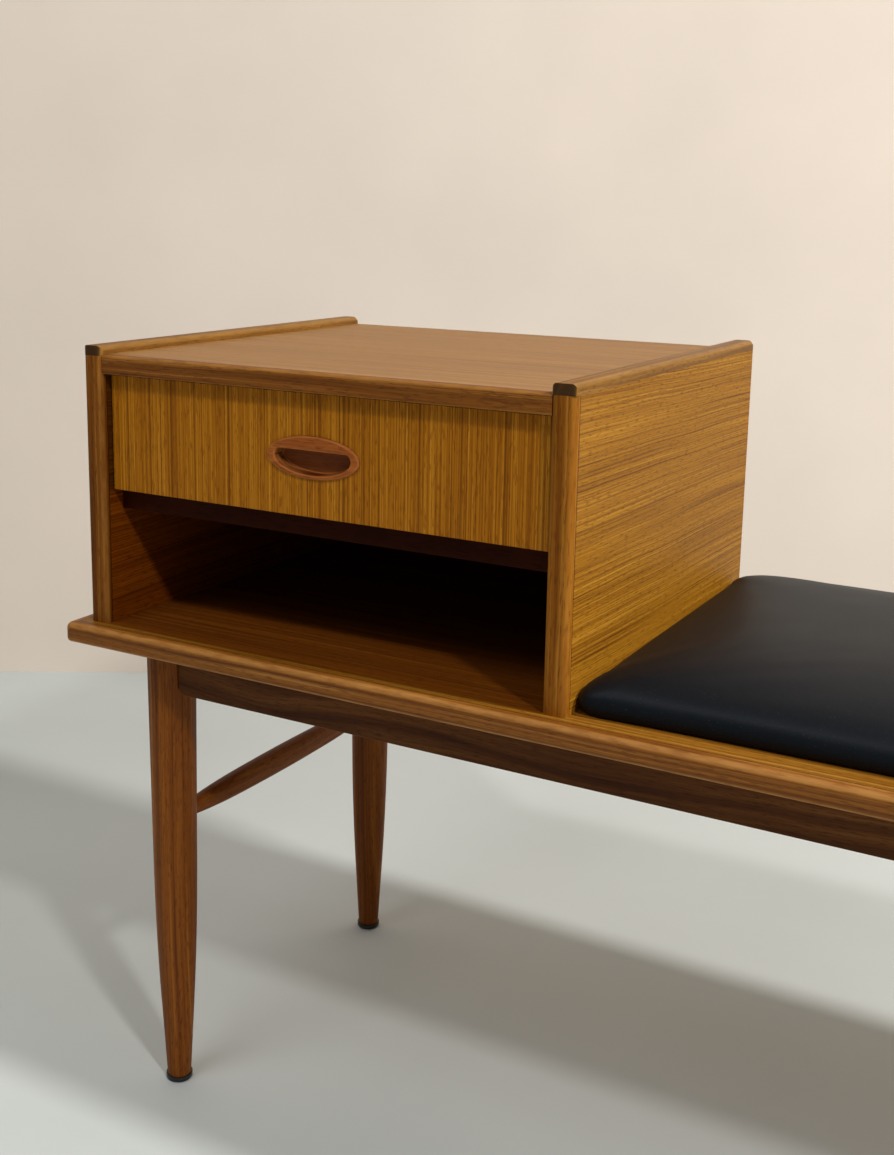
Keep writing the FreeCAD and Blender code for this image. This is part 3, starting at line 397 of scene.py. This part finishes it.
def leather():
    """Black leather: fine grain cells, a soft mottle, a little dust and a dull bluish sheen."""
    finish, tree, surface = new_finish("black_leather")
    spot = piece_spot(tree)
    bend = noise(tree, spot, LEATHER_BEND)
    bend = stretched(tree, joined(tree, bend, bend, bend), (MM, MM, MM))
    bent = put(tree, "ShaderNodeVectorMath", {0: spot, 1: bend}, operation="ADD").outputs[0]
    cells = put(tree, "ShaderNodeTexVoronoi", {"Vector": bent, "Scale": LEATHER_CELLS},
                feature="DISTANCE_TO_EDGE").outputs["Distance"]
    valleys = between(tree, cells, 0.0, 0.28)
    cloud = noise(tree, spot, (9, 9, 9), 3.0)
    dust = between(tree, noise(tree, spot, DUST_STRETCH, 0.0), 0.80, 0.84)
    colour = ramp(tree, cloud, list(zip((0.3, 0.7), LEATHER_TONES)))
    colour = blended(tree, times(tree, dust, DUST_SHARE), colour, linear(DUST))
    rough = plus(tree, times(tree, cloud, CLOUD_ROUGHNESS), LEATHER_ROUGH)
    lay(tree, surface, colour, rough, valleys, CELL_STRENGTH, CELL_DEPTH)
    surface.inputs["Specular IOR Level"].default_value = LEATHER_POLISH
    return finish


def plain(name, tone, rough, metal=0.0):
    """Moulded plastic or steel with slight scuffs."""
    finish, tree, surface = new_finish(name)
    scuffs = noise(tree, piece_spot(tree), SCUFF_STRETCH, 4.0, 0.6)
    colour = ramp(tree, scuffs, [(0.3, darker(tone, SCUFF_SHADE)), (0.7, tone)])
    rough = plus(tree, times(tree, scuffs, SCUFF_ROUGHNESS), rough - SCUFF_ROUGHNESS / 2)
    lay(tree, surface, colour, rough, scuffs, SCUFF_STRENGTH, SCUFF_DEPTH)
    surface.inputs["Metallic"].default_value = metal
    return finish


def cover(thing, finish):
    """Give a piece one finish all over."""
    thing.data.materials.clear()
    thing.data.materials.append(finish)


def dress(finish, *names):
    """Give a finish to CAD nodes."""
    for name in names:
        cover(nodes[name], finish)


dress(teak("top_veneer", TOP_TONES, "X", "Y", contrast=1.5, stripe=0.6, pore=0.4,
           wander=3, spacing=460, polish=0.2, joints=TOP_JOINT), "top_panel")
dress(teak("drawer_veneer", DRAWER_TONES, "Z", "X", contrast=1.15, stripe=0.7,
           wander=0.6, spacing=820, polish=0.1, leaf=33, joints=DRAWER_GAP_SHADOWS),
      "drawer_front")
dress(teak("right_veneer", SIDE_TONES, "Y", "Z", contrast=1.15, stripe=0.7, wander=5,
           spacing=760, polish=0.1, tilt=(1.5, 0, 0), opening_shade=1.0, joints=PANEL_JOINT),
      "right_side_panel")
dress(teak("left_veneer", SIDE_TONES, "Y", "Z", contrast=1.15, stripe=0.7, wander=5,
           spacing=760, polish=0.1, shift=(0.7, 0.3, 0.9), opening_shade=1.0, joints=PANEL_JOINT),
      "left_side_panel")
dress(teak("board_veneer", BOARD_TONES, "X", "Y", contrast=1.2, stripe=0.6, wander=4,
           spacing=420, shift=(0.2, 0.5, 0), opening_shade=0.8, joints=BOARD_JOINTS),
      "bench_board")
dress(teak("long_edging", EDGE_TONES, "X", "Z", pith=(40, -90), worn_and_highlit=0.7, wander=4,
           spacing=380, polish=0.2), "front_board_lipping", "rear_board_lipping")
dress(teak("end_edging", EDGE_TONES, "Y", "Z", pith=(40, -90), worn_and_highlit=0.7, wander=4,
           spacing=380, polish=0.2), "left_board_lipping", "right_board_lipping")
dress(teak("top_edging", LIPPING_TONES, "X", "Z", pith=(40, -90), worn_and_highlit=0.8, wander=4,
           spacing=380), "top_front_lipping")
dress(teak("left_stile_wood", LIPPING_TONES, "Z", "X", pith=(-300, 60), worn_and_highlit=0.45,
           wander=3, spacing=380, polish=0.08), "left_front_lipping")
dress(teak("right_stile_wood", STILE_TONES, "Z", "X", pith=(-300, 60), worn_and_highlit=0.25,
           wander=3, spacing=380, polish=0.1), "right_front_lipping")
dress(teak("apron_wood", APRON_TONES, "X", "Z", pith=(300, 60), wander=7, spacing=280,
           worn_and_highlit=0.4, polish=0.1), "front_apron", "rear_apron")
dress(teak("end_rail_wood", APRON_TONES, "Y", "Z", pith=(300, 60), wander=7, spacing=280,
           worn_and_highlit=0.4, polish=0.1), "left_end_rail", "right_end_rail")
dress(teak("leg_wood", LEG_TONES, "Z", "X", pith=(70, 90), wander=6, spacing=300,
           polish=0.12),
      "front_left_leg", "front_right_leg", "rear_left_leg", "rear_right_leg")
dress(teak("stretcher_wood", LEG_TONES, "Y", "X", pith=(-420, 300), wander=4,
           spacing=300, polish=0.12), "left_stretcher", "right_stretcher")
dress(teak("divider_wood", INNER_SHADE_TONES, "X", "Y", wander=4, spacing=260, opening_shade=1.0,
           polish=0.05), "drawer_divider", "drawer_stops")
dress(teak("pale_side_wood", PALE_TONES, "Y", "Z", contrast=0.7, stripe=0.3, spacing=220),
      "drawer_left_side", "drawer_right_side")
dress(teak("pale_cross_wood", PALE_TONES, "X", "Z", contrast=0.7, stripe=0.3, spacing=220),
      "drawer_back", "fixing_blocks", "cabinet_dowels")
dress(teak("plywood", PALE_TONES, "X", "Y", contrast=0.6, stripe=0.2, spacing=160,
           wander=10), "drawer_bottom", "seat_base")
dress(teak("back_plywood", BACK_TONES, "Z", "X", contrast=0.6, stripe=0.2, spacing=200,
           wander=10, opening_shade=1.0), "back_panel")
dress(plain("glide_plastic", GLIDE_PLASTIC, 0.45), "leg_glides")
dress(plain("screw_steel", STEEL, 0.35, metal=1.0), "back_panel_screws", "cabinet_screws",
      "drawer_bottom_screws", "fixing_screws", "seat_screws")


# Modelling tools

CLOSE = 0.02 * MM
SHARP_ANGLE = math.radians(32)
QUARTER_TURN = math.radians(90)


def only(*objects):
    """Select these objects and nothing else."""
    bpy.ops.object.select_all(action="DESELECT")
    for thing in objects:
        thing.select_set(True)
    bpy.context.view_layer.objects.active = objects[0]


def apply(thing, kind, **settings):
    """Add one modifier and apply it."""
    only(thing)
    modifier = thing.modifiers.new(kind.title(), kind)
    for name, value in settings.items():
        setattr(modifier, name, value)
    bpy.ops.object.modifier_apply(modifier=modifier.name)


def cut(thing, waste):
    """Take the waste out of a piece."""
    apply(thing, "BOOLEAN", operation="DIFFERENCE", solver="EXACT", object=waste)
    bpy.data.objects.remove(waste)


def settled(name):
    """The primitive just added, named, with its place moved into its mesh."""
    thing = bpy.context.object
    thing.name = name
    only(thing)
    bpy.ops.object.transform_apply(location=True, rotation=True, scale=True)
    return thing


def plain_block(name, middle, size):
    """A block with square edges."""
    bpy.ops.object.select_all(action="DESELECT")
    bpy.ops.mesh.primitive_cube_add(size=1, location=middle, scale=size)
    return settled(name)


def oval_block(name, middle, half_long, half_high, front, rear):
    """An oval cylinder whose axis runs from front to rear."""
    bpy.ops.object.select_all(action="DESELECT")
    bpy.ops.mesh.primitive_cylinder_add(
        vertices=96, radius=1, depth=1, rotation=(QUARTER_TURN, 0, 0),
        location=(middle.x, (front + rear) / 2, middle.z),
        scale=(half_long, half_high, rear - front))
    return settled(name)


def pick(thing, kind, wanted):
    """Select, in edit mode, the faces or the edges that pass a test: of a face's middle and
    normal, or of an edge's two ends."""
    only(thing)
    bpy.ops.object.mode_set(mode="EDIT")
    bpy.ops.mesh.select_mode(type=kind)
    bpy.ops.mesh.select_all(action="DESELECT")
    bpy.ops.object.mode_set(mode="OBJECT")
    mesh = thing.data
    if kind == "FACE":
        for face in mesh.polygons:
            face.select = wanted(face.center, face.normal)
    else:
        for edge in mesh.edges:
            ends = [mesh.vertices[index].co for index in edge.vertices]
            edge.select = wanted(*ends)
    bpy.ops.object.mode_set(mode="EDIT")


def done():
    """Leave edit mode."""
    bpy.ops.object.mode_set(mode="OBJECT")


def round_over(thing, radius, segments, wanted):
    """Round the edges whose ends pass the test."""
    pick(thing, "EDGE", wanted)
    bpy.ops.mesh.bevel(offset=radius, segments=segments, affect="EDGES")
    done()


def smooth(thing):
    """Shade a piece smooth, with its sharp edges kept."""
    only(thing)
    bpy.ops.object.shade_smooth_by_angle(angle=SHARP_ANGLE)


# The drawer's pull

RIM_ROUND = 1.8 * MM
MOUTH_ROUND = 1.1 * MM
MOUTH_HALF, MOUTH_LOW = 33.4 * MM, 13 * MM
MOUTH_OVER_LONG, MOUTH_OVER_HIGH = 1 * MM, 0.5 * MM
LIP_HIGH, LIP_THICK = 5.2 * MM, 5 * MM
RECESS_DEEP, RECESS_CORNER, COVE = 10 * MM, 4.5 * MM, 1.2 * MM
RECESS_PROUD = 2 * MM
FLOOR_LONG, FLOOR_HIGH, FLOOR_DROP = 0.96, 0.95, 1 * MM
HOLLOW_DEPTHS = (0.7 * MM, 1.5 * MM, 9.4 * MM, 9.9 * MM)
UNDERCUT_HALF, UNDERCUT_HIGH, UNDERCUT_ROUND = 24 * MM, 9.7 * MM, 1.5 * MM


def finger_recess(middle, front):
    """The shape that the recess takes out: a straight lip above, coved walls, a flat floor."""
    floor = front + RECESS_DEEP
    lip = middle.z + LIP_HIGH
    waste = oval_block("recess_waste", middle, MOUTH_HALF, MOUTH_LOW,
                       front - RECESS_PROUD, floor)
    pick(waste, "FACE", lambda centre, normal: True)
    bpy.ops.mesh.bisect(plane_co=(0, 0, lip), plane_no=(0, 0, 1), use_fill=True,
                        clear_outer=True)
    done()
    round_over(waste, RECESS_CORNER, 6, lambda one, two: abs(one.y - two.y) > MM
               and min(one.z, two.z) > lip - CLOSE)
    pick(waste, "FACE", lambda centre, normal: normal.y > 0.9)
    bpy.ops.transform.resize(value=(FLOOR_LONG, 1, FLOOR_HIGH),
                             center_override=(middle.x, floor, middle.z - FLOOR_DROP))
    bpy.ops.mesh.region_to_loop()
    bpy.ops.mesh.bevel(offset=COVE, segments=4, affect="EDGES")
    done()
    return waste


def drawer_pull():
    """An oval of solid wood with a rounded rim, hollowed for the fingers behind a lip."""
    low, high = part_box("drawer_pull")
    middle = (low + high) / 2
    pull = oval_block("oval_pull", middle, (high.x - low.x) / 2, (high.z - low.z) / 2,
                      low.y, high.y)
    round_over(pull, RIM_ROUND, 6, lambda one, two: max(one.y, two.y) < low.y + CLOSE)
    cut(pull, finger_recess(middle, low.y))

    def at_mouth(end):
        aside, up = end.x - middle.x, end.z - middle.z
        in_oval = ((aside / (MOUTH_HALF + MOUTH_OVER_LONG)) ** 2
                   + (up / (MOUTH_LOW + MOUTH_OVER_HIGH)) ** 2 < 1)
        return (in_oval and end.y < low.y + CLOSE and abs(aside) < MOUTH_HALF + CLOSE
                and -MOUTH_LOW - CLOSE < up < LIP_HIGH + CLOSE)

    round_over(pull, MOUTH_ROUND, 4, lambda one, two: at_mouth(one) and at_mouth(two))
    undercut = plain_block(
        "undercut", (middle.x, low.y + (LIP_THICK + RECESS_DEEP) / 2,
                     middle.z + UNDERCUT_HIGH / 2),
        (2 * UNDERCUT_HALF, RECESS_DEEP - LIP_THICK, UNDERCUT_HIGH))
    apply(undercut, "BEVEL", width=UNDERCUT_ROUND, segments=3)
    cut(pull, undercut)
    smooth(pull)
    # Painted shade in the finger recess, between these depths
    hollow = [low.y + depth for depth in HOLLOW_DEPTHS]
    cover(pull, teak("pull_wood", PULL_TONES, "X", "Z", pith=(520, 40), wander=4,
                     spacing=340, worn_and_highlit=0.5, hollow=hollow))
    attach(pull, "drawer")
    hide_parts("drawer_pull")


drawer_pull()


# The strips along the top of the cabinet's sides

STRIP_ROUND, STRIP_END_ROUND, STRIP_ARRIS = 5 * MM, 1.5 * MM, 0.35 * MM
LEFT_CORNER, RIGHT_CORNER = 4.5 * MM, 2.5 * MM


def top_strip(side, corner, finish):
    """A strip rounded along its top and at its front corners, with its end grain left flat."""
    node = side + "_top_lipping"
    low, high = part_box(node)
    half_way = (low.z + high.z) / 2
    strip = plain_block(side + "_strip", (low + high) / 2, high - low)
    mesh = strip.data
    weights = mesh.attributes.new("bevel_weight_edge", "FLOAT", "EDGE").data
    for edge, weight in zip(mesh.edges, weights):
        one, two = (mesh.vertices[index].co for index in edge.vertices)
        if min(one.z, two.z) > high.z - CLOSE and abs(one.x - two.x) < CLOSE:
            weight.value = 1.0
        elif max(one.y, two.y) < low.y + CLOSE and abs(one.z - two.z) > MM:
            weight.value = corner / STRIP_ROUND
    apply(strip, "BEVEL", width=STRIP_ROUND, segments=8, limit_method="WEIGHT")
    round_over(strip, STRIP_END_ROUND, 3, lambda one, two:
               min(one.y, two.y) > high.y - CLOSE and min(one.z, two.z) > half_way)
    round_over(strip, STRIP_ARRIS, 2, lambda one, two:
               max(one.y, two.y) < low.y + CLOSE and min(one.z, two.z) > high.z - CLOSE)
    smooth(strip)
    cover(strip, finish)
    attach(strip, "bench")
    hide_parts(node)


strip_wood = teak("strip_wood", STRIP_TONES, "Y", "X", pith=(-250, 700), worn_and_highlit=0.5,
                  wander=4, spacing=340, end_grain=0.85, polish=0.22)
top_strip("left", LEFT_CORNER, strip_wood)
top_strip("right", RIGHT_CORNER, strip_wood)


# The padded seat

VOXEL = 5 * MM
SHRINK = 1.2 * MM
SWELL_CAP = 5 * MM
SWELL_PRESSURE, SWELL_STEPS = 4, 20
HELD_BELOW = 3 * MM
EASED_OVER = 12 * MM
CORNER_PUSH, CORNER_POWER = 6 * MM, 9
SOFTEN = 0.5


def seat_cushion():
    """The cushion's form, remeshed, made a little smaller, and swollen by its filling."""
    low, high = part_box("seat_cushion")
    cushion = bpy.data.objects.new("leather_cushion", nodes["seat_cushion"].data.copy())
    bpy.context.scene.collection.objects.link(cushion)
    only(cushion)
    bpy.ops.object.mode_set(mode="EDIT")
    bpy.ops.mesh.select_all(action="SELECT")
    bpy.ops.mesh.remove_doubles(threshold=CLOSE)
    bpy.ops.mesh.normals_make_consistent(inside=False)
    done()
    apply(cushion, "REMESH", mode="VOXEL", voxel_size=VOXEL)
    apply(cushion, "SMOOTH", factor=SOFTEN, iterations=4)
    held = cushion.vertex_groups.new(name="held")
    mesh = cushion.data
    for vertex in mesh.vertices:
        above = vertex.co.z - low.z
        if above < HELD_BELOW:
            held.add([vertex.index], 1.0, "REPLACE")
        vertex.co -= vertex.normal * SHRINK * min(above / EASED_OVER, 1)
    start = [vertex.co.copy() for vertex in mesh.vertices]
    swell(cushion)
    steps = [vertex.co - before for vertex, before in zip(mesh.vertices, start)]
    share = SWELL_CAP / max(SWELL_CAP, max(step.length for step in steps))
    for vertex, before, step in zip(mesh.vertices, start, steps):
        vertex.co = before + step * share
    apply(cushion, "SMOOTH", factor=SOFTEN, iterations=5)
    fill_corners(cushion, low, high)
    fit(cushion, low, high)
    apply(cushion, "SUBSURF", levels=1, render_levels=1)
    only(cushion)
    bpy.ops.object.shade_smooth()
    cover(cushion, leather())
    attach(cushion, "bench")
    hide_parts("seat_cushion")


def swell(cushion):
    """Let the filling press the cover outwards, with its lower edge held."""
    only(cushion)
    cloth = cushion.modifiers.new("Cover", "CLOTH")
    cloth.settings.use_pressure = True
    cloth.settings.uniform_pressure_force = SWELL_PRESSURE
    cloth.settings.effector_weights.gravity = 0
    cloth.settings.vertex_group_mass = "held"
    cloth.point_cache.frame_start = 1
    cloth.point_cache.frame_end = SWELL_STEPS
    scene = bpy.context.scene
    for step in range(1, SWELL_STEPS + 1):
        scene.frame_set(step)
    bpy.ops.object.modifier_apply(modifier="Cover")
    scene.frame_set(1)


def fill_corners(thing, low, high):
    """Push the filling out into the four corners, so that the sides pull in between them."""
    middle, half = (low + high) / 2, (high - low) / 2
    for vertex in thing.data.vertices:
        away = vertex.co - middle
        near = abs(away.x / half.x) * abs(away.y / half.y)
        push = CORNER_PUSH * min(near, 1) ** CORNER_POWER
        vertex.co.x += math.copysign(push, away.x)
        vertex.co.y += math.copysign(push, away.y)


def fit(thing, low, high):
    """Stretch a piece evenly so that it fills the box from low to high."""
    vertices = thing.data.vertices
    least = Vector(min(vertex.co[axis] for vertex in vertices) for axis in range(3))
    most = Vector(max(vertex.co[axis] for vertex in vertices) for axis in range(3))
    for vertex in vertices:
        vertex.co = [start + (value - first) / (last - first) * (end - start)
                     for value, first, last, start, end
                     in zip(vertex.co, least, most, low, high)]


seat_cushion()


# Floor and wall

STAGE_SIZE = 24
WALL_POINT = Vector((-1.4, 0.541, 0))
WALL_TURN = math.radians(30.3)
PAINT_ROUGH, PAINT_POLISH, PAINT_SHADE = 0.7, 0.2, 0.97


def stage_plane(name, place, turn, finish):
    """A flat piece of the surroundings."""
    bpy.ops.object.select_all(action="DESELECT")
    bpy.ops.mesh.primitive_plane_add(size=STAGE_SIZE, location=place, rotation=turn)
    plane = bpy.context.object
    plane.name = name
    plane.data.materials.append(finish)


def matt(name, tone, one_sided=False):
    """Plain paint, and where it is one-sided, unseen from behind."""
    finish, tree, surface = new_finish(name)
    cloud = noise(tree, piece_spot(tree), (2.5, 2.5, 2.5), 4.0)
    colour = ramp(tree, cloud, [(0.35, darker(tone, PAINT_SHADE)), (0.65, tone)])
    tree.links.new(colour, surface.inputs["Base Color"])
    surface.inputs["Roughness"].default_value = PAINT_ROUGH
    surface.inputs["Specular IOR Level"].default_value = PAINT_POLISH
    if one_sided:
        behind = put(tree, "ShaderNodeNewGeometry").outputs["Backfacing"]
        clear = put(tree, "ShaderNodeBsdfTransparent").outputs[0]
        both = put(tree, "ShaderNodeMixShader", {0: behind, 1: surface.outputs[0], 2: clear})
        tree.links.new(both.outputs[0], tree.nodes["Material Output"].inputs["Surface"])
    return finish


stage_plane("floor", (0, 0, 0), (0, 0, 0), matt("floor_paint", FLOOR))
stage_plane("wall", WALL_POINT + Vector((0, 0, STAGE_SIZE / 2)),
            (QUARTER_TURN, 0, WALL_TURN), matt("wall_paint", WALL, one_sided=True))


# Lamps and the light of the room

LAMP_TARGET = Vector((-0.2, 0, 0.45))
WARM_LIGHT, COOL_LIGHT = (1.0, 0.98, 0.95), (0.95, 0.98, 1.0)
ROOM_LIGHT, ROOM_STRENGTH = (0.97, 0.98, 1.0, 1), 0.19
BACKDROP_STRENGTH = 0.85


def lamp(name, towards, distance, size, strength, tone):
    """A round area lamp that shines from one direction on to the cabinet."""
    light = bpy.data.lights.new(name, "AREA")
    light.shape = "DISK"
    light.size = size
    light.energy = strength * math.pi ** 2 * distance ** 2
    light.color = tone
    thing = bpy.data.objects.new(name, light)
    bpy.context.scene.collection.objects.link(thing)
    way = Vector(towards).normalized()
    thing.location = LAMP_TARGET + way * distance
    thing.rotation_euler = way.to_track_quat("Z", "Y").to_euler()


lamp("side_lamp", (0.734, -0.03, 0.680), 3.2, 0.26, 0.76, WARM_LIGHT)
lamp("front_lamp", (0.600, -0.454, 0.658), 3.2, 0.22, 0.32, WARM_LIGHT)
lamp("soft_lamp", (-0.20, -0.54, 0.82), 3.0, 1.4, 0.22, COOL_LIGHT)

world = bpy.data.worlds.new("studio")
bpy.context.scene.world = world
world.use_nodes = True
air = world.node_tree
soft_light = air.nodes["Background"]
soft_light.inputs["Color"].default_value = ROOM_LIGHT
soft_light.inputs["Strength"].default_value = ROOM_STRENGTH
seen = put(air, "ShaderNodeBackground", {"Color": linear(WALL), "Strength": BACKDROP_STRENGTH})
camera_ray = put(air, "ShaderNodeLightPath").outputs["Is Camera Ray"]
either = put(air, "ShaderNodeMixShader",
             {0: camera_ray, 1: soft_light.outputs[0], 2: seen.outputs[0]})
air.links.new(either.outputs[0], air.nodes["World Output"].inputs["Surface"])


# The photograph's camera: its place, its axes, and its focal length and shift in pixels

EYE = (0.24993, -1.01712, 0.74407)
RIGHT = (0.861902, 0.506910, 0.012903)
UP = (-0.107727, 0.158185, 0.981515)
BACK = (0.495499, -0.847360, 0.190948)
FOCAL, LONG_SIDE, SENSOR = 1420.46, 1155, 36
SHIFT_RIGHT, SHIFT_DOWN = -41.40, -97.07

camera = bpy.data.cameras.new("camera")
camera.sensor_width = SENSOR
camera.lens = FOCAL / LONG_SIDE * SENSOR
camera.shift_x = -SHIFT_RIGHT / LONG_SIDE
camera.shift_y = SHIFT_DOWN / LONG_SIDE
view = bpy.data.objects.new("camera", camera)
bpy.context.scene.collection.objects.link(view)
axes = Matrix((RIGHT, UP, BACK)).transposed()
view.matrix_world = Matrix.Translation(EYE) @ axes.to_4x4()
bpy.context.scene.camera = view

bpy.context.scene.view_settings.view_transform = "Standard"
